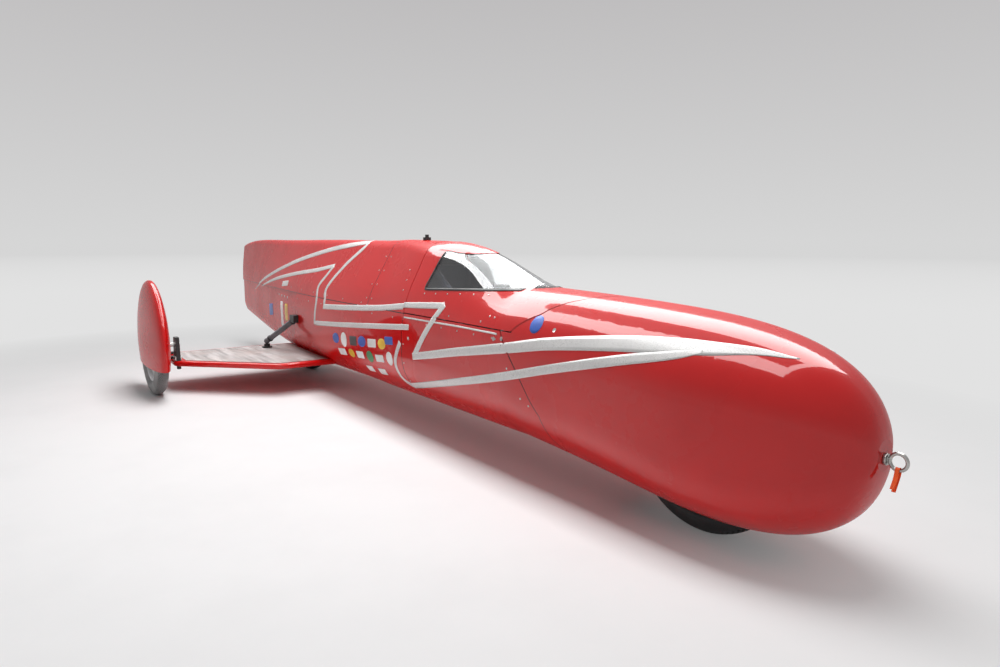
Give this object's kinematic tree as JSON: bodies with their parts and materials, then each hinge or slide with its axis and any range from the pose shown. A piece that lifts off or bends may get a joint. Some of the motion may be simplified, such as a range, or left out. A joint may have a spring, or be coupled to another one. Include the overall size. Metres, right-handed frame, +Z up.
{
  "type": "electric sidecar land speed racer",
  "caption": "Low red streamlined electric racing motorcycle with a bullet nose, hinged canopy, long flat-topped tail and a flat outrigger carrying a sidecar wheel in a pod.",
  "frame": {"origin": "bottom centre of the bounding box, on the floor the tyres stand on", "axes": "+X forward along the body, +Y to the left side, +Z up"},
  "size_m": [5.752, 1.435, 0.978],
  "materials": {
    "red_skin": "gloss",
    "screen": "clear",
    "tyre": "matte",
    "alloy": "satin",
    "composite": "matte",
    "dark_plate": "matte",
    "trim": "matte",
    "black_metal": "satin",
    "battery_case": "matte",
    "motor_case": "satin",
    "steel": "brushed",
    "deck_sheet": "worn",
    "strut_paint": "satin",
    "black_plastic": "matte"
  },
  "bodies": {
    "chassis": {"aerial_base": "black_plastic", "battery_block": "battery_case", "cockpit_tub": "red_skin", "control_yoke": "black_metal", "dash": "dark_plate", "firewall": "composite", "floor_rail_left": "alloy", "floor_rail_right": "alloy", "headrest": "trim", "hinge_pin": "steel", "hinge_tub": "steel", "hoop_cover": "red_skin", "motor_block": "motor_case", "nose_bulkhead": "composite", "nose_shell": "red_skin", "platform": "red_skin", "platform_deck": "deck_sheet", "pod": "red_skin", "pod_bracket_front": "black_metal", "pod_bracket_rear": "black_metal", "power_tub": "red_skin", "rear_arm_left": "black_metal", "rear_arm_right": "black_metal", "rear_axle": "steel", "rear_bulkhead": "composite", "seat": "trim", "sidecar_axle": "steel", "sidecar_upright": "steel", "steering_head": "black_metal", "strut": "strut_paint", "strut_foot": "black_metal", "strut_head": "black_metal", "tail_cover": "red_skin", "tail_lower": "red_skin", "tail_plate": "dark_plate", "tow_eye": "steel"},
    "canopy": {"canopy_shell": "red_skin", "windshield": "screen", "hinge_canopy": "steel"},
    "steering": {"front_fork": "black_metal", "front_axle": "steel"},
    "front_wheel": {"front_tyre": "tyre", "front_rim": "alloy"},
    "rear_wheel": {"rear_tyre": "tyre", "rear_rim": "alloy"},
    "sidecar_wheel": {"sidecar_tyre": "tyre", "sidecar_rim": "alloy"}
  },
  "joints": [
    {"name": "steering_turn", "type": "hinge", "parent": "chassis", "child": "steering", "pos_m": [2.254, 0.4475, 0.3], "axis": [-0.6947, 0, 0.7193], "range_deg": [-5, 5]},
    {"name": "front_wheel_spin", "type": "hinge", "parent": "steering", "child": "front_wheel", "pos_m": [2.254, 0.4475, 0.3], "axis": [0, 1, 0], "continuous": true},
    {"name": "rear_wheel_spin", "type": "hinge", "parent": "chassis", "child": "rear_wheel", "pos_m": [-1.356, 0.4475, 0.3], "axis": [0, 1, 0], "continuous": true},
    {"name": "sidecar_wheel_spin", "type": "hinge", "parent": "chassis", "child": "sidecar_wheel", "pos_m": [-1.06, -0.6535, 0.3], "axis": [0, 1, 0], "continuous": true},
    {"name": "canopy_hinge", "type": "hinge", "parent": "chassis", "child": "canopy", "pos_m": [0.984, 0.7105, 0.597], "axis": [-1, 0, 0], "range_deg": [0, 80]}
  ]
}
